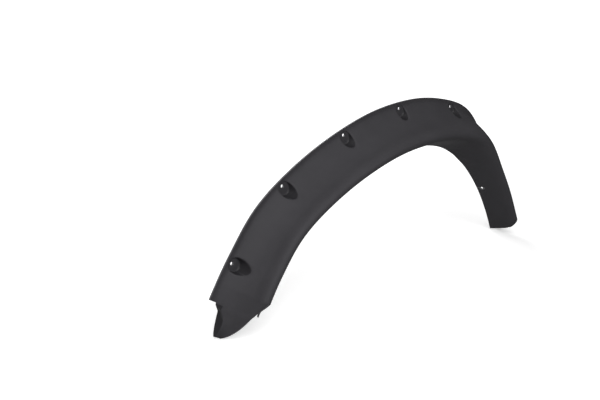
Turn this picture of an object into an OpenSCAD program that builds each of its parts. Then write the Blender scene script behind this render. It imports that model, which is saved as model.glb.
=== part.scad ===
// Wheel arch trim: one thin moulded sheet that runs round the wheel opening of a car.
// The outside faces -Y, the car stands at +Y, and Z is up. The front leg is the one at low X.
// Its section is set out at stations along the rim line: fixing flange, hollow skin, lip and
// return wall. Outer and inner faces share one grid of points, and the screw pockets are set
// into that grid. The origin is the crown screw hole, at the floor of its pocket.

/* [Arch] */
// Distance along the car over which the rim line is drawn
arch_w = 1000; // [880:10:1100]
// Height of the crown above the rear foot
arch_h = 390; // [340:5:440]

/* [Section] */
// Thickness of the sheet
sheet_t = 3.6; // [2.4:0.1:4.4]
// How far the lip stands out from the car's side
flare_out = 97; // [80:1:115]
// How far the lip lies inside the rim at the crown
flare_in = 74; // [62:1:84]
// How far the free edge lies inside the lip
return_in = 34; // [26:1:42]
// Gap between the car's side and the free edge of the return wall
return_gap = 20; // [14:1:30]
// Gap between the car's side and the face of the fixing flange
flange_gap = 12; // [10:0.5:15]
// Width of the flat fixing flange
flange_w = 11; // [9:0.5:14]
// Width of the lip's front face
lip_w = 22; // [16:0.5:24]
// How far the lip's rounds reach along the skin and the return wall
lip_round = 26; // [16:1:28]
// How hollow the skin is between the flange and the lip
skin_sag = 13; // [6:0.5:15]

/* [Screw pockets] */
// Distance from the rim to the middle of a pocket
pocket_in = 21; // [19:0.5:23]
// Radius of a pocket's flat floor
pocket_r = 14; // [12:0.5:15]
// Slope of a pocket's wall, as widening for each mm of rise
pocket_draft = 0.08; // [0.04:0.01:0.14]
// Depth of a pocket's floor behind the flange's face
pocket_sink = 0.8; // [0.4:0.1:1.2]
// Distance from the rim to the screw hole
hole_in = 14; // [12:0.5:16]
// Radius of the screw holes
hole_r = 3.25; // [2.5:0.05:4]
// Distance from the rim to the plain hole in the rear leg's flange
plain_in = 6; // [5:0.5:7]

/* [Wall screw] */
// Place of the hole in the rear leg's return wall, counted along the rim's points
wall_place = 11.8; // [11.6:0.05:12.2]
// Distance from the free edge to that hole
wall_hole_in = 13; // [11:0.5:18]
// Radius of the shallow dish round it
dish_r = 9; // [7:0.5:11]

/* [Leg ends] */
// Length of the front leg's bare tip, below the end of its flange
tip_len = 66; // [55:1:75]
// How far above the flange's end the lip starts to run out towards the tip
lip_runout = 36; // [30:1:40]
// Deepest part of the prow's face, where the tip turns in towards the car
prow_face = 18; // [10:1:24]
// Angle of the rear leg's end, rising from the car's side
rear_cut = 16; // [12:1:20]
// How much further the end rises where it rounds up to the lip
foot_corner = 24; // [10:1:30]

/* [Hidden] */

// Rim line in side view, as shares of the arch's width and height, front foot first
RIM = [[-0.055, 0.077], [-0.024, 0.226], [0.028, 0.418], [0.095, 0.612], [0.188, 0.762],
       [0.306, 0.888], [0.436, 0.974], [0.570, 1.0], [0.684, 0.968], [0.779, 0.890],
       [0.842, 0.745], [0.872, 0.552], [0.897, 0.365], [0.930, 0.185], [0.970, 0], [1.006, -0.16]];
// At the same points: slope of the line that the section stands square to, in degrees
SLOPE = [62, 58, 51.5, 40.5, 28, 18.5, 9.3, -0.5, -12, -28, -48, -62, -66, -64, -61, -60];
// At the same points, as shares: how far inside the rim and outside the car the lip lies
LIP_IN = [0.82, 0.82, 0.78, 0.80, 0.84, 0.90, 0.96, 1, 1, 1.0, 0.98, 0.67, 0.38, 0.31, 0.34, 0.40];
LIP_OUT = [1, 1, 1, 1, 1, 1, 1, 1, 1, 1, 1, 1, 1, 1, 0.99, 0.97];
// At the same points: how far the free edge lies inside the lip, as shares, and how much more
// than at the crown its gap is
EDGE_IN = [0.8, 0.82, 0.95, 1, 1, 1, 1, 1, 1.08, 1.34, 1.15, 0.87, 0.67, 0.38, 0.2, 0.2];
EDGE_GAP = [42, 40, 28, 16, 6, 0, 0, 0, 0, 0, 0, 0, 0, -4, -10, -12];
// At the same points: share of the skin's hollow
SKIN_SAG = [1, 1, 1, 1, 1, 1, 1, 0.9, 0.6, 0, -0.6, -0.5, 0, 0.3, 0.3, 0.3];
// Places of the screw pockets along the rim, and of the plain hole, counted in its points
POCKETS = [1.87, 3.69, 5.24, 6.63, 8.38];
plain_place = 12;
// The prow's edge, at shares of the tip's length below the flange: distance inside the rim
PROW_IN = [26, 34.5, 38, 41, 44.5, 50];

crown_pocket = 3;
flange_end = 1;
foot = len(RIM) - 2;
// From here on the stations lean over to the rear leg's slanting end
foot_from = 12.4;
// Points across the section: first of the skin, middle of the lip, last of all
skin_first = 4;
lip_mid = 13;
last = 18;
// Points across the section that a pocket takes up, from its middle
pocket_mid = 5;
half_pocket = 4;
pocket_reach = 23;
// How far down the tip its prow and its skin take to form
prow_blend = 15;
skin_blend = 44;

// Smooth value between the entries of a list, at a place t along it
function at(list, t) =
    let (i = min(max(floor(t), 0), len(list) - 2), u = t - i,
         b = list[i], c = list[i + 1],
         a = i > 0 ? list[i - 1] : 2 * b - c,
         d = i + 2 < len(list) ? list[i + 2] : 2 * c - b)
    0.5 * (2 * b + (c - a) * u + (2 * a - 5 * b + 4 * c - d) * u * u
           + (3 * b - a - 3 * c + d) * u * u * u);
function unit(v) = v / norm(v);
function clamp(x) = min(max(x, 0), 1);
function ease(x) = let (c = clamp(x)) c * c * (3 - 2 * c);
function mix(a, b, u) = a * (1 - u) + b * u;
function bend(a, b, c, u) = (1 - u) * (1 - u) * a + 2 * u * (1 - u) * b + u * u * c;
function rim(t) = let (p = at(RIM, t)) [p[0] * arch_w, p[1] * arch_h];
function inward(t) = let (a = at(SLOPE, t)) [sin(a), -cos(a)];
// Distance along the rim for each point counted
function pace(t) = norm(rim(t + 0.01) - rim(t - 0.01)) / 0.02;
// Height up the front leg from the flange's end, negative on the bare tip
function rise(t) = t < 3 ? sign(t - flange_end) * norm(rim(t) - rim(flange_end)) : 300;

// The hollow curve from a fold to a far end
function hollow(fold, end, u, share = 1) =
    let (chord = end - fold,
         depth = skin_sag * share * min(1, norm(chord) / 90),
         middle = (fold + end) / 2 + [-chord[1], chord[0]] / norm(chord) * 2 * depth)
    bend(fold, middle, end, u);
SKIN_AT = [0.07, 0.15, 0.28, 0.42, 0.56, 0.70, 0.80];

// The outer face across the trim: [distance inside the rim, distance towards the car]
function full_line(t) =
    let (s = rise(t),
         out = pow(clamp((s + tip_len) / (tip_len + lip_runout)), 0.66),
         lip_in = at(LIP_IN, t) * flare_in,
         lip_y = -2 - (flare_out - 2) * at(LIP_OUT, t) * out,
         face = mix(6, lip_w, clamp(s / lip_runout)),
         fold = [flange_w, -flange_gap],
         near = [lip_in - face / 2, lip_y],
         far = [lip_in + face / 2, lip_y],
         edge = [lip_in + return_in * at(EDGE_IN, t), -return_gap - at(EDGE_GAP, t)],
         sag = at(SKIN_SAG, t),
         u1 = 1 - lip_round / norm(near - fold),
         turn_in = hollow(fold, near, u1, sag),
         turn_out = far + unit(edge - far) * min(lip_round, 0.7 * norm(edge - far)),
         half = (near + far) / 2)
    concat([[0, -flange_gap], [2.2, -flange_gap], [6.6, -flange_gap],
            bend(fold - [4, 0], fold, hollow(fold, near, 0.05, sag), 0.5)],
           [for (u = SKIN_AT) hollow(fold, near, u * (u1 + 0.1) / 0.9, sag)],
           [for (i = [1:2]) bend(mix(turn_in, near, 0.1), near, half, i / 3 + 0.02)],
           [half],
           [for (i = [1:3]) bend(half, far, turn_out, i / 3)],
           [mix(turn_out, edge, 0.5), edge]);

// The bare tip's outer face, whose edge on the rim's side turns in towards the car
function tip_line(t) =
    let (q = clamp(-rise(t) / tip_len),
         out = pow(1 - q, 0.66) * pow(tip_len / (tip_len + lip_runout), 0.66),
         end = [at(LIP_IN, t) * flare_in + 2, -4 - (flare_out - 4) * out],
         start = [at(PROW_IN, q * 5), -6 + 4.5 * q],
         fold = start + [1.5, -prow_face * sin(160 * q + 12)],
         skin = [for (i = [0:7]) hollow(fold, end, i / 7)])
    concat([for (i = [0:3]) start],
           [start, mix(start, fold, 0.6), bend(mix(start, fold, 0.8), fold, skin[1], 0.45)],
           [for (i = [1:7]) skin[i]],
           [for (i = [0:4]) end]);

function outer_line(t) =
    let (s = rise(t), f = full_line(t))
    s >= 0 ? f
    : let (b = tip_line(t))
      [for (i = [0:last])
          mix(f[i], b[i], ease(-s / mix(prow_blend, skin_blend, clamp((i - 5) / 2))))];

// The inner face: the same line moved a sheet's thickness inwards
function inner_line(t) =
    let (line = outer_line(t), low = t < flange_end ? skin_first : 0,
         high = t < flange_end ? lip_mid : last)
    [for (i = [0:last])
        let (v = unit(line[min(max(i, low) + 1, high)] - line[max(min(i, high) - 1, low)]))
        line[i] + [-v[1], v[0]] * sheet_t];

function line(t, side) = side == 0 ? outer_line(t) : inner_line(t);
function placed(p, t) =
    let (o = rim(t), v = inward(t)) [o[0] + v[0] * p[0], p[1], o[1] + v[1] * p[0]];
function point(t, j, side) = placed(at(line(t, side), j), t);

// Stations along the rim: [place, pocket or -1, share of the pocket's reach]
function zone(k) = [for (i = [-half_pocket:half_pocket])
    [POCKETS[k] + i / half_pocket * pocket_reach / pace(POCKETS[k]), k, i / half_pocket]];
function between(a, b, step) = let (n = max(1, ceil((b - a) / step)))
    [for (i = [1:1:n - 1]) [a + (b - a) * i / n, -1, 0]];
lip_start = flange_end + lip_runout / pace(flange_end + 0.2);
zones = [for (k = [0:len(POCKETS) - 1]) zone(k)];
zone_start = zones[0][0][0];
n_zones = len(zones);
tip_places = [0, 0.07, 0.16, 0.28, 0.42, 0.56, 0.68, 0.78, 0.87, 0.94];
tip_share = tip_len / norm(rim(1) - rim(0));
stations = concat(
    [for (q = tip_places) [flange_end - tip_share * (1 - q) * 0.985, -1, 0]],
    [[flange_end, -1, 0]],
    between(flange_end, lip_start, 0.11),
    [[lip_start, -1, 0]],
    between(lip_start, zone_start, 0.11),
    [for (k = [0:n_zones - 1]) each concat(zones[k],
        between(zones[k][8][0], k < n_zones - 1 ? zones[k + 1][0][0] : foot_from, 0.2))],
    [[foot_from, -1, 0]],
    between(foot_from, foot, 0.24),
    [[foot, -1, 0]]);
n_st = len(stations);
flange_i = len(tip_places);
lip_i = flange_i + 1 + len(between(flange_end, lip_start, 0.11));

// Place along the rim of the rear leg's slanting end, for one point across the section
function end_height(y) = -y * tan(rear_cut) + foot_corner * pow(clamp((-y / flare_out - 0.65) / 0.35), 2);
function foot_place(j, a, b, n) =
    let (m = (a + b) / 2, p = point(m, j, 0))
    n == 0 ? m : p[2] > end_height(p[1]) ? foot_place(j, m, b, n - 1) : foot_place(j, a, m, n - 1);
foot_ends = [for (j = [0:last]) foot_place(j, foot_from + 0.05, foot + 0.9, 14)];
function wall_end(j) = mix(lip_start, flange_end + 0.04, clamp((j - lip_mid) / (last - lip_mid)));

// Place of one grid point: the return wall's end and the foot are sheared off the stations
function place_of(i, j) =
    let (t = stations[i][0], z = zone_start)
    t > foot_from ? mix(foot_from, foot_ends[j], (t - foot_from) / (foot - foot_from))
    : j > lip_mid && t < z ? z - (z - max(t, lip_start)) / (z - lip_start) * (z - wall_end(j))
    : t;

// A pocket's floor and its wall, found on the straight line across the grid from its middle
function middle_of(k) = placed([pocket_in, -flange_gap], POCKETS[k]);
function flat(p) = [p[0], p[2]];
function mouth(k, c, t1, j1, side, lo, hi, n) =
    let (h = (lo + hi) / 2,
         p = point(mix(POCKETS[k], t1, h), mix(pocket_mid, j1, h), side),
         more = side * sheet_t,
         r = pocket_r + more + 1 + max(0, floor_y + more - p[1]) * pocket_draft)
    n == 0 ? p
    : norm(flat(p) - c) < r ? mouth(k, c, t1, j1, side, h, hi, n - 1)
    : mouth(k, c, t1, j1, side, lo, h, n - 1);
floor_y = pocket_sink - flange_gap;
function pocket_point(k, a, b, side) =
    let (m = max(abs(a), abs(b)), c = flat(middle_of(k)), more = side * sheet_t,
         floor_at = floor_y + more)
    m < 0.01 ? [c[0], floor_at, c[1]]
    : let (t1 = POCKETS[k] + a / m * pocket_reach / pace(POCKETS[k]),
           j1 = pocket_mid + b / m * half_pocket,
           edge = mouth(k, c, t1, j1, side, 0, 0.98, 9),
           v = unit(flat(edge) - c))
    m > 0.7 ? edge
    : let (r = (pocket_r + more) * (m > 0.4 ? 1 : 0.45)) [c[0] + v[0] * r, floor_at, c[1] + v[1] * r];

function grid_point(i, j, side) =
    let (st = stations[i], b = (j - pocket_mid) / half_pocket)
    st[1] >= 0 && abs(st[2]) < 0.99 && abs(b) < 0.99
    ? pocket_point(st[1], st[2], b, side)
    : let (t = place_of(i, j)) placed(line(t, side)[j], t);

// Is there sheet between points i and i + 1, j and j + 1?
function has_cell(i, j) =
    i >= 0 && j >= 0 && i < n_st - 1 && j < last
    && !(i < flange_i && j < skin_first) && !(i < lip_i && j >= lip_mid);

module sheet() {
    m = last + 1;
    half = n_st * m;
    points = [for (side = [0, 1], i = [0:n_st - 1], j = [0:last]) grid_point(i, j, side)];
    cells = [for (i = [0:n_st - 2], j = [0:last - 1]) if (has_cell(i, j)) [i, j]];
    faces = [for (c = cells)
        let (i = c[0], j = c[1], a = i * m + j, b = a + 1, d = a + m, e = d + 1)
        each concat(
            [[a, e, b], [a, d, e], [a + half, b + half, e + half], [a + half, e + half, d + half]],
            has_cell(i - 1, j) ? [] : [[a, b, b + half], [a, b + half, a + half]],
            has_cell(i + 1, j) ? [] : [[e, d, d + half], [e, d + half, e + half]],
            has_cell(i, j - 1) ? [] : [[d, a, a + half], [d, a + half, d + half]],
            has_cell(i, j + 1) ? [] : [[b, e, e + half], [b, e + half, b + half]])];
    polyhedron(points, faces, convexity = 10);
}

module screw_hole(t, in) {
    p = placed([in, 0], t);
    translate([p[0], 4, p[2]]) rotate([90, 0, 0]) cylinder(h = 24, r = hole_r, $fn = 48);
}

// The hole through the rear leg's return wall, square to the wall, in a shallow dish
module wall_hole() {
    e = outer_line(wall_place)[last];
    w = unit(outer_line(wall_place)[last - 1] - e);
    p = placed(e + w * wall_hole_in, wall_place);
    n = placed([-w[1], w[0]], wall_place) - placed([0, 0], wall_place);
    translate(p) rotate([0, acos(n[2]), atan2(n[1], n[0])]) {
        translate([0, 0, -8]) cylinder(h = 16, r = hole_r, $fn = 48);
        translate([0, 0, -1.2]) cylinder(h = 2.4, r1 = dish_r - 3, r2 = dish_r + 3, $fn = 48);
    }
}

module arch_trim() {
    crown = placed([hole_in, 0], POCKETS[crown_pocket]);
    color("#39393b")
    translate([-crown[0], -floor_y, -crown[2]])
    difference() {
        sheet();
        for (t = POCKETS) screw_hole(t, hole_in);
        screw_hole(plain_place, plain_in);
        wall_hole();
    }
}

arch_trim();
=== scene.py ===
import math
from functools import lru_cache

import bmesh
import bpy
from mathutils import Matrix, Vector


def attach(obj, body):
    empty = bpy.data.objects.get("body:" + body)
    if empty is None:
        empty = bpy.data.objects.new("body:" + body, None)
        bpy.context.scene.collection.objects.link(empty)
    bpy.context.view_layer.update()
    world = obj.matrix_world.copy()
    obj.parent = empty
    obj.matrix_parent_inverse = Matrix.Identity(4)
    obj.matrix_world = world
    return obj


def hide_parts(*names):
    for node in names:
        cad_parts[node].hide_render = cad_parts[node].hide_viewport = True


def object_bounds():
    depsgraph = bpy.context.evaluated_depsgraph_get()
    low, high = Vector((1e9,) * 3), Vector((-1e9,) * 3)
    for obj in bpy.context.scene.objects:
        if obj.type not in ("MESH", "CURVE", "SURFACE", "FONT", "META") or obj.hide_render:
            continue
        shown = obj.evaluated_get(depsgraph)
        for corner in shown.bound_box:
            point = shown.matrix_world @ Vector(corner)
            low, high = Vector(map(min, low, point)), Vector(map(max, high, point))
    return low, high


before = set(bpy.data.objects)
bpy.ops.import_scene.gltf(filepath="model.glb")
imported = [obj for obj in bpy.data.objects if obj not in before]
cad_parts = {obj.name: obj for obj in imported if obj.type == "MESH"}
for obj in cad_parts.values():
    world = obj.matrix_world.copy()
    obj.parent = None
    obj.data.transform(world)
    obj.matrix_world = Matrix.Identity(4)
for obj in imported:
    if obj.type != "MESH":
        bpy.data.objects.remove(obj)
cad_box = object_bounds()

# The moulded sheet. The trim is one injection moulding in ABS: a flat fixing flange that lies
# against the wing, a hollow skin that flares out from it, a soft rolled lip, and a return wall
# that runs back towards the car. Sizes are in millimetres, with Z up and the car at +Y.
ARCH_W, ARCH_H = 1000, 390
SHEET_T = 3.6
FLARE_OUT, FLARE_IN = 97, 74
FLANGE_W, FLANGE_GAP = 11, 12
FLANGE_AT = (0, 2.2, 6.6)
FOLD_ROUND = 4
SKIN_HOLLOW, FULL_CHORD = 13, 90
LIP_W, LIP_ROUND, LIP_RUNOUT = 22, 26, 36
RETURN_IN, RETURN_GAP = 34, 20
TIP_LEN, TIP_LIP_W = 66, 6
TIP_OUT, TIP_END_OUT = 2, 4
OUT_POWER = 0.66

# Rim line in side view, as shares of the arch's width and height, front foot first.
RIM = [Vector(p) for p in (
    (-0.055, 0.077), (-0.024, 0.226), (0.028, 0.418), (0.095, 0.612), (0.188, 0.762),
    (0.306, 0.888), (0.436, 0.974), (0.570, 1.0), (0.684, 0.968), (0.779, 0.890),
    (0.842, 0.745), (0.872, 0.552), (0.897, 0.365), (0.930, 0.185), (0.970, 0), (1.006, -0.16))]
# At the same points: slope of the line that the section stands square to, in degrees.
SLOPE = (62, 58, 51.5, 40.5, 28, 18.5, 9.3, -0.5, -12, -28, -48, -62, -66, -64, -61, -60)
# At the same points, as shares: how far inside the rim and outside the car the lip lies.
LIP_IN = (0.82, 0.82, 0.78, 0.80, 0.84, 0.90, 0.96, 1, 1, 1.0, 0.98, 0.67, 0.38, 0.31, 0.34, 0.40)
LIP_OUT = (1, 1, 1, 1, 1, 1, 1, 1, 1, 1, 1, 1, 1, 1, 0.99, 0.97)
# At the same points: how far the free edge lies inside the lip, as shares, and how much more
# than at the crown its gap to the car is.
EDGE_IN = (0.8, 0.82, 0.95, 1, 1, 1, 1, 1, 1.08, 1.34, 1.15, 0.87, 0.67, 0.38, 0.2, 0.2)
EDGE_GAP = (42, 40, 28, 16, 6, 0, 0, 0, 0, 0, 0, 0, 0, -4, -10, -12)
# At the same points: share of the skin's hollow.
SKIN_SAG = (1, 1, 1, 1, 1, 1, 1, 0.9, 0.6, 0, -0.6, -0.5, 0, 0.3, 0.3, 0.3)
# The bare tip's turned edge: its distance inside the rim at even shares of the tip's length, its
# gap to the car at both ends, and its width with the part of a wave, in degrees, that it follows.
PROW_IN = (26, 34.5, 38, 41, 44.5, 50)
PROW_GAP = (6, 1.5)
PROW_FACE, PROW_WAVE = 18, (12, 172)
PROW_BLEND, SKIN_BLEND = 15, 44
# Columns across the sheet, counted from the flange's edge, and the skin's shares of its width.
SKIN_FIRST, LIP_MID, LAST = 4, 13, 18
SKIN_AT = (0.07, 0.15, 0.28, 0.42, 0.56, 0.70, 0.80)
# The point of the rim at which the flange ends and the bare tip begins.
FLANGE_END = 1


def at(values, t):
    """Smooth value between the entries of a list, at a place t along it."""
    i = min(max(math.floor(t), 0), len(values) - 2)
    u = t - i
    b, c = values[i], values[i + 1]
    a = values[i - 1] if i > 0 else 2 * b - c
    d = values[i + 2] if i + 2 < len(values) else 2 * c - b
    return 0.5 * (2 * b + (c - a) * u + (2 * a - 5 * b + 4 * c - d) * u ** 2
                  + (3 * b - a - 3 * c + d) * u ** 3)


def clamp(x):
    return min(max(x, 0), 1)


def ease(x):
    return clamp(x) ** 2 * (3 - 2 * clamp(x))


def mix(a, b, u):
    return a * (1 - u) + b * u


def bend(a, b, c, u):
    """A curve from a to c that leans to b."""
    return (1 - u) ** 2 * a + 2 * u * (1 - u) * b + u * u * c


def rim(t):
    p = at(RIM, t)
    return Vector((p.x * ARCH_W, p.y * ARCH_H))


def inward(t):
    slope = math.radians(at(SLOPE, t))
    return Vector((math.sin(slope), -math.cos(slope)))


def pace(t):
    """Distance along the rim for each point counted."""
    return (rim(t + 0.01) - rim(t - 0.01)).length / 0.02


def rise(t):
    """Height up the front leg from the flange's end, negative on the bare tip."""
    return math.copysign((rim(min(t, 3)) - rim(FLANGE_END)).length, t - FLANGE_END)


def hollow(fold, end, u, share=1):
    """The hollow curve from a fold to a far end."""
    chord = end - fold
    depth = SKIN_HOLLOW * share * min(1, chord.length / FULL_CHORD)
    middle = (fold + end) / 2 + Vector((-chord.y, chord.x)).normalized() * 2 * depth
    return bend(fold, middle, end, u)


def full_line(t):
    """The outer face across the trim: (distance inside the rim, distance towards the car)."""
    up = rise(t)
    out = clamp((up + TIP_LEN) / (TIP_LEN + LIP_RUNOUT)) ** OUT_POWER
    lip_in = at(LIP_IN, t) * FLARE_IN
    lip_y = -TIP_OUT - (FLARE_OUT - TIP_OUT) * at(LIP_OUT, t) * out
    face = mix(TIP_LIP_W, LIP_W, clamp(up / LIP_RUNOUT))
    fold = Vector((FLANGE_W, -FLANGE_GAP))
    near = Vector((lip_in - face / 2, lip_y))
    far = Vector((lip_in + face / 2, lip_y))
    edge = Vector((lip_in + RETURN_IN * at(EDGE_IN, t), -RETURN_GAP - at(EDGE_GAP, t)))
    sag = at(SKIN_SAG, t)
    turn = 1 - LIP_ROUND / (near - fold).length
    turn_in = hollow(fold, near, turn, sag)
    wall = (edge - far).length
    turn_out = far + (edge - far).normalized() * min(LIP_ROUND, 0.7 * wall)
    half = (near + far) / 2
    flange = [Vector((d, -FLANGE_GAP)) for d in FLANGE_AT]
    start = bend(fold - Vector((FOLD_ROUND, 0)), fold, hollow(fold, near, 0.05, sag), 0.5)
    skin = [hollow(fold, near, u * (turn + 0.1) / 0.9, sag) for u in SKIN_AT]
    roll = [bend(mix(turn_in, near, 0.1), near, half, i / 3 + 0.02) for i in (1, 2)]
    roll += [half] + [bend(half, far, turn_out, i / 3) for i in (1, 2, 3)]
    return flange + [start] + skin + roll + [mix(turn_out, edge, 0.5), edge]


def tip_line(t):
    """The bare tip's outer face, whose edge on the rim's side turns in towards the car."""
    q = clamp(-rise(t) / TIP_LEN)
    out = ((1 - q) * TIP_LEN / (TIP_LEN + LIP_RUNOUT)) ** OUT_POWER
    end = Vector((at(LIP_IN, t) * FLARE_IN + 2, -TIP_END_OUT - (FLARE_OUT - TIP_END_OUT) * out))
    start = Vector((at(PROW_IN, q * (len(PROW_IN) - 1)), -mix(*PROW_GAP, q)))
    fold = start + Vector((1.5, -PROW_FACE * math.sin(math.radians(mix(*PROW_WAVE, q)))))
    skin = [hollow(fold, end, i / 7) for i in range(8)]
    prow = [start, mix(start, fold, 0.6), bend(mix(start, fold, 0.8), fold, skin[1], 0.45)]
    return [start] * 4 + prow + skin[1:] + [end] * 5


def outer_line(t):
    """The outer face at t: the tip's edge turns in sooner than the skin narrows."""
    line = full_line(t)
    if rise(t) >= 0:
        return line
    bare = tip_line(t)
    blends = [mix(PROW_BLEND, SKIN_BLEND, clamp((i - 5) / 2)) for i in range(LAST + 1)]
    return [mix(a, b, ease(-rise(t) / blend)) for a, b, blend in zip(line, bare, blends)]


def inner_line(t):
    """The inner face: the same line moved a sheet's thickness inwards."""
    line = outer_line(t)
    low, high = (SKIN_FIRST, LIP_MID) if t < FLANGE_END else (0, LAST)
    moved = []
    for i, p in enumerate(line):
        run = (line[min(max(i, low) + 1, high)] - line[max(min(i, high) - 1, low)]).normalized()
        moved.append(p + Vector((-run.y, run.x)) * SHEET_T)
    return moved


LINES_KEPT = 100


@lru_cache(maxsize=None)
def kept_line(step, side):
    """The sheet's outer or inner face, worked out once at each hundredth of a point."""
    return (outer_line, inner_line)[side](step / LINES_KEPT)


def placed(p, t):
    """A point of the section at t, given as for full_line, in the frame's directions."""
    o, v = rim(t), inward(t)
    return Vector((o.x + v.x * p[0], p[1], o.y + v.y * p[0]))


def point(t, j, side):
    """A point of the sheet at place t along the rim and j across it."""
    step = math.floor(t * LINES_KEPT)
    low, high = at(kept_line(step, side), j), at(kept_line(step + 1, side), j)
    return placed(mix(low, high, t * LINES_KEPT - step), t)


# The screw pockets. Five round wells are sunk in the skin beside the flange, each with a flat
# floor that the screw's head sits on. Their drafted walls run out where the skin meets the
# flange, and the mould leaves a small round at the floor and at the mouth.
POCKETS = (1.87, 3.69, 5.24, 6.63, 8.38)
CROWN_POCKET = 3
POCKET_IN, POCKET_R = 21, 14
POCKET_DRAFT, POCKET_SINK = 0.08, 0.8
POCKET_MID, HALF_POCKET, POCKET_REACH = 5, 4, 23
POCKET_ROUND, MOUTH_GAP = 2.6, 1
FLOOR_Y = POCKET_SINK - FLANGE_GAP
# Rings of points from a pocket's middle outwards, and those at which its parts begin.
RINGS, FOOT_RING, MOUTH_RING, SKIN_RING = 12, 3, 7, 11
FLOOR_SHARES = (0, 0.42, 0.76)
MOUTH_SEARCHES = 11


def pocket_point(k, a, b, side):
    """A point of a pocket's floor, wall or mouth, at shares a along and b across its patch."""
    middle = placed((POCKET_IN, -FLANGE_GAP), POCKETS[k])
    centre = Vector((middle.x, middle.z))
    more = side * SHEET_T
    floor = FLOOR_Y + more
    ring = round(RINGS * max(abs(a), abs(b)))
    if ring == 0:
        return Vector((centre.x, floor, centre.y))
    end_t = POCKETS[k] + a * RINGS / ring * POCKET_REACH / pace(POCKETS[k])
    end_j = POCKET_MID + b * RINGS / ring * HALF_POCKET

    def skin(share):
        return point(mix(POCKETS[k], end_t, share), mix(POCKET_MID, end_j, share), side)

    near, far = 0, 0.98
    for _ in range(MOUTH_SEARCHES):
        half = (near + far) / 2
        p = skin(half)
        deep = max(0, floor + more - p.y)
        reach = POCKET_R + more + MOUTH_GAP + deep * POCKET_DRAFT
        if (Vector((p.x, p.z)) - centre).length < reach:
            near = half
        else:
            far = half
    mouth = skin(near)
    out = Vector((mouth.x - centre.x, 0, mouth.z - centre.y)).normalized()
    middle.y = floor
    foot = middle + out * (POCKET_R + more)
    wall = mouth - foot
    soft = min(POCKET_ROUND, 0.45 * wall.length)
    wall.normalize()
    if ring < FOOT_RING:
        return middle + out * (POCKET_R + more - soft) * FLOOR_SHARES[ring]
    if ring < MOUTH_RING:
        return bend(foot - out * soft, foot, foot + wall * soft, (ring - FOOT_RING) / 3)
    rest = mix(near, 1, 0.35)
    if ring < SKIN_RING:
        return bend(mouth - wall * soft, mouth, skin(rest), (ring - MOUTH_RING) / 3)
    return skin(mix(rest, 1, 0.5))


# The stations along the rim at which the mould's section was drawn: close together on the bare
# tip and in the pockets, wider along the plain runs. FINE of them go between each two, so that
# the skin is as smooth as the real moulding.
FINE = 3
TIP_PLACES = (0, 0.07, 0.16, 0.28, 0.42, 0.56, 0.68, 0.78, 0.87, 0.94)
TIP_TRIM = 0.985
LIP_STEP, PLAIN_STEP, FOOT_STEP = 0.11, 0.2, 0.24
FOOT_FROM, FOOT, FOOT_SEARCHES = 12.4, 14, 14
REAR_CUT, FOOT_CORNER, CORNER_FROM = math.radians(16), 24, 0.65
WALL_GAP = 0.04


def between(a, b, step):
    """Even stations between two others, no further apart than a step."""
    n = max(1, math.ceil((b - a) / step - 1e-9))
    return [(a + (b - a) * i / n, -1, 0) for i in range(1, n)]


tip_share = TIP_LEN / (rim(FLANGE_END) - rim(0)).length
lip_start = FLANGE_END + LIP_RUNOUT / pace(FLANGE_END + 0.2)
zones = [[(t + i / HALF_POCKET * POCKET_REACH / pace(t), k, i / HALF_POCKET)
          for i in range(-HALF_POCKET, HALF_POCKET + 1)] for k, t in enumerate(POCKETS)]
zone_start = zones[0][0][0]
# Each station: its place along the rim, which pocket it runs through (-1 for none), and where
# in that pocket, from -1 to 1.
stations = [(FLANGE_END - tip_share * (1 - q) * TIP_TRIM, -1, 0) for q in TIP_PLACES]
flange_i = len(stations)
stations += [(FLANGE_END, -1, 0)] + between(FLANGE_END, lip_start, LIP_STEP)
lip_i = len(stations)
stations += [(lip_start, -1, 0)] + between(lip_start, zone_start, LIP_STEP)
zone_ends = [zone[0][0] for zone in zones[1:]] + [FOOT_FROM]
for zone, zone_end in zip(zones, zone_ends):
    stations += zone + between(zone[-1][0], zone_end, PLAIN_STEP)
stations += [(FOOT_FROM, -1, 0)] + between(FOOT_FROM, FOOT, FOOT_STEP) + [(FOOT, -1, 0)]


def end_height(y):
    """Height of the rear leg's slanting end, which rounds up to the lip."""
    corner = clamp((-y / FLARE_OUT - CORNER_FROM) / (1 - CORNER_FROM))
    return -y * math.tan(REAR_CUT) + FOOT_CORNER * corner ** 2


def foot_place(j):
    """The place along the rim at which a column of the sheet reaches the rear leg's end."""
    a, b = FOOT_FROM + 0.05, FOOT + 0.9
    for _ in range(FOOT_SEARCHES):
        m = (a + b) / 2
        p = point(m, j, 0)
        a, b = (m, b) if p.z > end_height(p.y) else (a, m)
    return (a + b) / 2


foot_ends = [foot_place(j) for j in range(LAST + 1)]


def grid_point(row, column, side):
    """One point of the sheet, with the wall's end and the foot sheared off the stations."""
    i = min(row // FINE, len(stations) - 2)
    u, j = row / FINE - i, column / FINE
    (t0, k0, a0), (t1, k1, a1) = stations[i], stations[i + 1]
    t, a, b = mix(t0, t1, u), mix(a0, a1, u), (j - POCKET_MID) / HALF_POCKET
    if k0 == k1 >= 0 and abs(a) < 0.999 and abs(b) < 0.999:
        return pocket_point(k0, a, b, side)
    if t > FOOT_FROM:
        t = mix(FOOT_FROM, at(foot_ends, j), (t - FOOT_FROM) / (FOOT - FOOT_FROM))
    elif j > LIP_MID and t < zone_start:
        wall_end = mix(lip_start, FLANGE_END + WALL_GAP, (j - LIP_MID) / (LAST - LIP_MID))
        left = (zone_start - max(t, lip_start)) / (zone_start - lip_start)
        t = zone_start - left * (zone_start - wall_end)
    return point(t, j, side)


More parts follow.
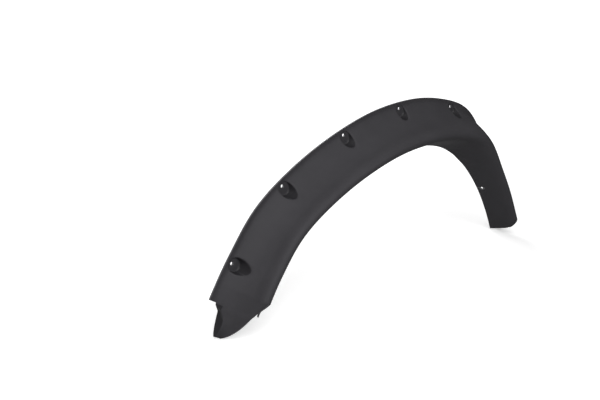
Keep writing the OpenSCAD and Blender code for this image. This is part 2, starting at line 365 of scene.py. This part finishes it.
def pocket_ring(row, column):
    """Which ring of a pocket a point lies on, or RINGS outside the pockets."""
    i = min(row // FINE, len(stations) - 2)
    (_, k0, a0), (_, k1, a1) = stations[i], stations[i + 1]
    share = mix(a0, a1, row / FINE - i) if k0 == k1 >= 0 else 1
    across = (column / FINE - POCKET_MID) / HALF_POCKET
    return min(RINGS, round(RINGS * max(abs(share), abs(across))))


def has_cell(row, column):
    """Whether the sheet has a face here: the bare tip has no flange and no return wall."""
    i, j = row // FINE, column // FINE
    return (0 <= row < rows - 1 and 0 <= column < columns - 1
            and not (i < flange_i and j < SKIN_FIRST) and not (i < lip_i and j >= LIP_MID))


# The grained outside. ABS moulded against an etched tool: a fine haircell grain breaks up the
# gloss, so the eye sees an even, matt, faintly purplish dark grey with soft broad highlights.
# Real grain is about 0.5 mm across, too fine to show here, and is drawn at 1.6 mm.
ABS_IOR = 1.54
GRAIN_MM, CLOUD_MM, WARP_MM = 1.6, 70, 4


def linear(colour):
    """A hex sRGB colour as linear light."""
    parts = [int(colour[i:i + 2], 16) / 255 for i in (1, 3, 5)]
    return [c / 12.92 if c <= 0.04045 else ((c + 0.055) / 1.055) ** 2.4 for c in parts] + [1]


def add_node(material, kind, inputs, **settings):
    """Adds a node with its settings, and gives each input a value or links a socket to it."""
    added = material.node_tree.nodes.new("ShaderNode" + kind)
    for name, value in settings.items():
        setattr(added, name, value)
    for name, value in inputs.items():
        if isinstance(value, bpy.types.NodeSocket):
            material.node_tree.links.new(value, added.inputs[name])
        else:
            added.inputs[name].default_value = value
    return added


def new_material(name):
    material = bpy.data.materials.new(name)
    material.use_nodes = True
    material.node_tree.nodes.clear()
    return material


grained = new_material("grained_black_abs")
where = add_node(grained, "TexCoord", {}).outputs["Object"]
cloud = add_node(grained, "TexNoise", {"Vector": where, "Scale": 1000 / CLOUD_MM, "Detail": 4,
                                       "Roughness": 0.6}).outputs["Fac"]
warp = add_node(grained, "TexNoise", {"Vector": where, "Scale": 1000 / WARP_MM, "Detail": 2})
bent = add_node(grained, "MixRGB", {"Fac": 0.004, "Color1": where,
                                    "Color2": warp.outputs["Color"]}).outputs["Color"]
hairs = add_node(grained, "TexVoronoi", {"Vector": bent, "Scale": 1000 / GRAIN_MM},
                 feature="DISTANCE_TO_EDGE").outputs["Distance"]
cells = add_node(grained, "MapRange", {"Value": hairs, "From Min": 0.0, "From Max": 0.35})
tone = add_node(grained, "MapRange", {"Value": cloud, "From Min": 0.3, "From Max": 0.7})
colour = add_node(grained, "MixRGB", {"Fac": tone.outputs["Result"], "Color1": linear("#3b3a3d"),
                                      "Color2": linear("#403f42")}).outputs["Color"]
gloss = add_node(grained, "MapRange", {"Value": cloud, "From Min": 0.3, "From Max": 0.7,
                                       "To Min": 0.62, "To Max": 0.70}).outputs["Result"]
relief = add_node(grained, "Bump", {"Height": cells.outputs["Result"], "Strength": 0.25,
                                    "Distance": 0.0002}).outputs["Normal"]
skin_shader = add_node(grained, "BsdfPrincipled", {"Base Color": colour, "Roughness": gloss,
                                                   "IOR": ABS_IOR, "Normal": relief,
                                                   "Specular IOR Level": 0.12})
add_node(grained, "OutputMaterial", {"Surface": skin_shader.outputs["BSDF"]})

# The pockets' walls and the tip's turned edge. Grain would tear as the moulding leaves the tool,
# so these steep walls are left plain, without grain. Their colour is the black ABS painted darker
# than the grained face and the smooth inside: painted shade for the shadow in the pockets and
# along the tip's turned edge.
FLOW_MM = 25 / 3
plain_painted_shade = new_material("black_abs_painted_shade")
where = add_node(plain_painted_shade, "TexCoord", {}).outputs["Object"]
cloud = add_node(plain_painted_shade, "TexNoise", {"Vector": where, "Scale": 1000 / FLOW_MM,
                                     "Detail": 3}).outputs["Fac"]
# Painted shade: both tones are darker copies of the grained face's colour, mottled at random.
colour = add_node(plain_painted_shade, "MixRGB", {"Fac": cloud, "Color1": linear("#1f1e21"),
                                    "Color2": linear("#262528")}).outputs["Color"]
gloss = add_node(plain_painted_shade, "MapRange", {"Value": cloud, "From Min": 0.3, "From Max": 0.7,
                                     "To Min": 0.46, "To Max": 0.54}).outputs["Result"]
painted_shade_shader = add_node(plain_painted_shade, "BsdfPrincipled", {"Base Color": colour, "Roughness": gloss,
                                                 "IOR": ABS_IOR, "Specular IOR Level": 0.3})
add_node(plain_painted_shade, "OutputMaterial", {"Surface": painted_shade_shader.outputs["BSDF"]})

# The smooth inside. The same black ABS against the tool's polished core: darker than the grained
# face, with narrower highlights that waver a little where the moulding has shrunk.
SHRINK_MM = 35
polished = new_material("polished_black_abs")
where = add_node(polished, "TexCoord", {}).outputs["Object"]
shrink = add_node(polished, "TexNoise", {"Vector": where, "Scale": 1000 / SHRINK_MM,
                                         "Detail": 2}).outputs["Fac"]
gloss = add_node(polished, "MapRange", {"Value": shrink, "From Min": 0.3, "From Max": 0.7,
                                        "To Min": 0.36, "To Max": 0.46}).outputs["Result"]
colour = add_node(polished, "MixRGB", {"Fac": shrink, "Color1": linear("#262528"),
                                       "Color2": linear("#2d2c2f")}).outputs["Color"]
relief = add_node(polished, "Bump", {"Height": shrink, "Strength": 0.35,
                                     "Distance": 0.002}).outputs["Normal"]
core_shader = add_node(polished, "BsdfPrincipled", {"Base Color": colour, "Roughness": gloss,
                                                    "IOR": ABS_IOR, "Normal": relief})
add_node(polished, "OutputMaterial", {"Surface": core_shader.outputs["BSDF"]})

# The trimmed edge. Where the cutter has gone through the sheet, the ABS is lightly scored, and the
# edge is coloured paler than the faces as a painted highlight, so the outline of the trim and its
# holes reads as a thin paler line.
SCORE_MM = 3
edge_with_painted_highlight = new_material("trimmed_abs_edge_painted_highlight")
where = add_node(edge_with_painted_highlight, "TexCoord", {}).outputs["Object"]
scores = add_node(edge_with_painted_highlight, "TexNoise", {"Vector": where, "Scale": 1000 / SCORE_MM,
                                       "Detail": 3}).outputs["Fac"]
# Painted highlight: both tones are much paler than the sheet's faces.
colour = add_node(edge_with_painted_highlight, "MixRGB", {"Fac": scores, "Color1": linear("#4a494c"),
                                     "Color2": linear("#5c5b5f")}).outputs["Color"]
relief = add_node(edge_with_painted_highlight, "Bump", {"Height": scores, "Strength": 0.3,
                                   "Distance": 0.0003}).outputs["Normal"]
edge_shader = add_node(edge_with_painted_highlight, "BsdfPrincipled", {"Base Color": colour, "Roughness": 0.48,
                                                  "IOR": ABS_IOR, "Normal": relief})
add_node(edge_with_painted_highlight, "OutputMaterial", {"Surface": edge_shader.outputs["BSDF"]})

# The two faces and the trimmed edge between them, as one closed skin. The frame's origin is the
# crown screw hole at its pocket's floor. The faces take the finishes that the mould gave them, but
# the steep pocket walls and the tip's turned edge take painted shade, and the trimmed edge is
# coloured paler as a painted highlight.
OUTSIDE, INSIDE, TRIMMED, PAINTED_SHADE_WALL = 0, 1, 2, 3
FINISHES = (grained, polished, edge_with_painted_highlight, plain_painted_shade)
PROW_FOLD, WALL_RINGS, STEEP = 6, {5, 6}, 0.8
HOLE_IN = 14
EDGE_SOFT = 0.4
crown = placed((HOLE_IN, 0), POCKETS[CROWN_POCKET])
ORIGIN = Vector((crown.x, FLOOR_Y, crown.z))
rows, columns = (len(stations) - 1) * FINE + 1, LAST * FINE + 1

bm = bmesh.new()
grid = {}


def vertex(row, column, side):
    """The mesh's vertex at a grid point of the outer (0) or inner (1) face, made when needed."""
    key = (row, column, side)
    if key not in grid:
        grid[key] = bm.verts.new((grid_point(row, column, side) - ORIGIN) / 1000)
    return grid[key]


def face(finish, *corners):
    new = bm.faces.new([vertex(*corner) for corner in corners])
    new.material_index = finish
    new.smooth = True
    return new


rim_faces = []
for row in range(rows - 1):
    for column in range(columns - 1):
        if not has_cell(row, column):
            continue
        a, b, c, d = (row, column), (row, column + 1), (row + 1, column + 1), (row + 1, column)
        skin = face(OUTSIDE, (*a, 0), (*d, 0), (*c, 0), (*b, 0))
        skin.normal_update()
        # Steep faces of the pockets' walls and of the tip's turned edge take the painted shade.
        in_pocket = WALL_RINGS & {pocket_ring(*a), pocket_ring(*c)}
        on_prow = row // FINE < flange_i and column // FINE < PROW_FOLD
        if (in_pocket or on_prow) and abs(skin.normal.y) < STEEP:
            skin.material_index = PAINTED_SHADE_WALL
        face(INSIDE, (*a, 1), (*b, 1), (*c, 1), (*d, 1))
        for p, q, beside in ((a, b, (row - 1, column)), (c, d, (row + 1, column)),
                             (d, a, (row, column - 1)), (b, c, (row, column + 1))):
            if not has_cell(*beside):
                rim_faces.append(face(TRIMMED, (*p, 0), (*q, 0), (*q, 1), (*p, 1)))

# The trimmed edge's rounded corners take its painted highlight as well.
corner_edges = {edge for strip in rim_faces for edge in strip.edges
                if {f.material_index for f in edge.link_faces} != {TRIMMED}}
bmesh.ops.bevel(bm, geom=list(corner_edges), offset=EDGE_SOFT / 1000, offset_type="OFFSET",
                segments=2, profile=0.5, affect="EDGES", clamp_overlap=False, material=TRIMMED)
bmesh.ops.recalc_face_normals(bm, faces=bm.faces)
for f in bm.faces:
    f.smooth = True
mesh = bpy.data.meshes.new("arch_trim_moulding")
bm.to_mesh(mesh)
bm.free()
for finish in FINISHES:
    mesh.materials.append(finish)
trim = bpy.data.objects.new("arch_trim_moulding", mesh)
bpy.context.scene.collection.objects.link(trim)

# The screw holes. Seven holes for 6 mm screws go through the sheet: one in each pocket's floor and
# a plain one in the rear leg's flange, with a soft edge on both faces, and one in its return wall,
# in a shallow dish that seats the screw square to the slanting wall.
HOLE_R, HOLE_SOFT = 3.25, 0.5
PLAIN_PLACE, PLAIN_IN = 12, 6
WALL_PLACE, WALL_HOLE_IN = 11.8, 13
DISH_R, DISH_DEPTH, DISH_FLARE = 9, 1.2, 3
PAST, WALL_PAST = 1.5, 8
SHARP = math.radians(38)


def turned(cutter, profile, middle, axis, sides=64):
    """Adds a solid turned about axis, from (distance along it, radius) pairs."""
    place = Matrix.Translation(middle) @ axis.to_track_quat("Z", "Y").to_matrix().to_4x4()
    rings = [[cutter.verts.new(place @ Vector((r * math.cos(math.tau * s / sides),
                                               r * math.sin(math.tau * s / sides), z)) / 1000)
              for s in range(sides)] for z, r in profile]
    cutter.faces.new(reversed(rings[0]))
    cutter.faces.new(rings[-1])
    for low, high in zip(rings, rings[1:]):
        for s in range(sides):
            n = (s + 1) % sides
            cutter.faces.new((low[s], low[n], high[n], high[s]))


def drill(cutter, face_at, axis):
    """A hole through the sheet from its outer face, along axis towards the car."""
    mouth = HOLE_R + HOLE_SOFT + PAST
    profile = ((-PAST, mouth), (HOLE_SOFT, HOLE_R),
               (SHEET_T - HOLE_SOFT, HOLE_R), (SHEET_T + PAST, mouth))
    turned(cutter, profile, face_at, axis)


def cut(cutter):
    """Takes the cutter's solids out of the trim."""
    bmesh.ops.recalc_face_normals(cutter, faces=cutter.faces)
    # The cut walls of the holes take the trimmed edge's painted highlight.
    for f in cutter.faces:
        f.material_index, f.smooth = TRIMMED, True
    shape = bpy.data.meshes.new("cutter")
    cutter.to_mesh(shape)
    cutter.free()
    for finish in FINISHES:
        shape.materials.append(finish)
    tool = bpy.data.objects.new("cutter", shape)
    bpy.context.scene.collection.objects.link(tool)
    step = trim.modifiers.new("cut", "BOOLEAN")
    step.object, step.operation, step.solver = tool, "DIFFERENCE", "EXACT"
    bpy.context.view_layer.update()
    done = bpy.data.meshes.new_from_object(
        trim.evaluated_get(bpy.context.evaluated_depsgraph_get()))
    trim.modifiers.clear()
    trim.data = done
    bpy.data.objects.remove(tool)


def square_to_wall():
    """The wall hole's middle, and the direction square to the wall towards the car."""
    line = outer_line(WALL_PLACE)
    along = (line[LAST - 1] - line[LAST]).normalized()
    middle = placed(line[LAST] + along * WALL_HOLE_IN, WALL_PLACE)
    square = placed((-along.y, along.x), WALL_PLACE) - placed((0, 0), WALL_PLACE)
    return middle, square.normalized()


holes = bmesh.new()
back = Vector((0, 1, 0))
for t in POCKETS:
    drill(holes, placed((HOLE_IN, FLOOR_Y), t) - ORIGIN, back)
drill(holes, placed((PLAIN_IN, -FLANGE_GAP), PLAIN_PLACE) - ORIGIN, back)
cut(holes)
wall_at, wall_square = square_to_wall()
dish = bmesh.new()
turned(dish, ((-DISH_DEPTH, DISH_R - DISH_FLARE), (DISH_DEPTH, DISH_R + DISH_FLARE)),
       wall_at - ORIGIN, wall_square)
cut(dish)
wall_hole = bmesh.new()
turned(wall_hole, ((-WALL_PAST, HOLE_R), (WALL_PAST, HOLE_R)), wall_at - ORIGIN, wall_square)
cut(wall_hole)

trim.data.set_sharp_from_angle(angle=SHARP)
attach(trim, "root")
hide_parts("arch_trim")

# The studio: a plain pale sweep that the trim stands on with both legs, soft boxes from the
# front, above and behind, and a dim white room. The sweep's glow falls off near the trim, so that
# its shadow stays in sight. None of this is part of the object.
FLOOR_HALF, FLOOR_DROP = 20, 0.0002
GLOW_NEAR, GLOW_FAR, GLOW_LEAST = 0.7, 2.4, 0.38
ROOM_LIGHT = 0.14

floor_mesh = bpy.data.meshes.new("sweep")
floor_z = cad_box[0].z - FLOOR_DROP
corners = [(x * FLOOR_HALF, y * FLOOR_HALF, floor_z)
           for x, y in ((-1, -1), (1, -1), (1, 1), (-1, 1))]
floor_mesh.from_pydata(corners, [], [(0, 1, 2, 3)])
sweep = bpy.data.objects.new("sweep", floor_mesh)
bpy.context.scene.collection.objects.link(sweep)
paper = new_material("white_paper")
seen = add_node(paper, "LightPath", {}).outputs["Is Camera Ray"]
tint = add_node(paper, "MixRGB", {"Fac": seen, "Color1": linear("#b4b4b4"),
                                  "Color2": linear("#f2f2f2")}).outputs["Color"]
dull = add_node(paper, "BsdfPrincipled", {"Base Color": tint, "Roughness": 0.9})
where = add_node(paper, "TexCoord", {}).outputs["Object"]
away = add_node(paper, "VectorMath", {0: where}, operation="LENGTH").outputs["Value"]
glow = add_node(paper, "MapRange", {"Value": away, "From Min": GLOW_NEAR, "From Max": GLOW_FAR,
                                    "To Min": GLOW_LEAST, "To Max": 1.0}).outputs["Result"]
level = add_node(paper, "Math", {0: glow, 1: seen}, operation="MULTIPLY").outputs["Value"]
bright = add_node(paper, "Emission", {"Color": linear("#ffffff"), "Strength": level})
both = add_node(paper, "AddShader", {0: dull.outputs["BSDF"], 1: bright.outputs["Emission"]})
add_node(paper, "OutputMaterial", {"Surface": both.outputs["Shader"]})
floor_mesh.materials.append(paper)

room = bpy.data.worlds.new("room")
bpy.context.scene.world = room
room.use_nodes = True
room.node_tree.nodes.clear()
seen = add_node(room, "LightPath", {}).outputs["Is Camera Ray"]
level = add_node(room, "MapRange", {"Value": seen, "To Min": ROOM_LIGHT, "To Max": 1.0})
sky = add_node(room, "Background", {"Color": linear("#ffffff"),
                                    "Strength": level.outputs["Result"]})
add_node(room, "OutputWorld", {"Surface": sky.outputs["Background"]})

MIDDLE = Vector((-0.05, -0.04, -0.17))
SOFT_BOXES = (("front_box", (-1.24, -1.28, 1.30), 1.5, 45),
              ("top_box", (-0.4, -0.7, 2.2), 2.4, 6),
              ("back_box", (0.5, 1.7, 0.7), 1.6, 30))
for name, place, size, watts in SOFT_BOXES:
    lamp = bpy.data.lights.new(name, "AREA")
    lamp.shape, lamp.size, lamp.energy = "SQUARE", size, watts
    box = bpy.data.objects.new(name, lamp)
    box.location = place
    box.visible_camera = False
    box.rotation_euler = (MIDDLE - Vector(place)).to_track_quat("-Z", "Y").to_euler()
    bpy.context.scene.collection.objects.link(box)

# The camera. It stands off the trim's front leg, a little above it, and looks along the arch and
# down, as the photograph was taken.
CAMERA_AT = Vector((-1.438516, -1.1083, 0.315059))
LOOK, RIGHT = Vector((0.6852, 0.6728, -0.279)), Vector((0.7006, -0.7135, 0))
LENS_MM = 49.86
look = LOOK.normalized()
right = (RIGHT - look * RIGHT.dot(look)).normalized()
up = right.cross(look)
camera = bpy.data.objects.new("camera", bpy.data.cameras.new("camera"))
camera.matrix_world = Matrix.Translation(CAMERA_AT) @ Matrix(
    (right, up, -look)).transposed().to_4x4()
camera.data.lens = LENS_MM
camera.data.clip_end = 100
bpy.context.scene.collection.objects.link(camera)
bpy.context.scene.camera = camera
bpy.context.scene.view_settings.view_transform = "Standard"
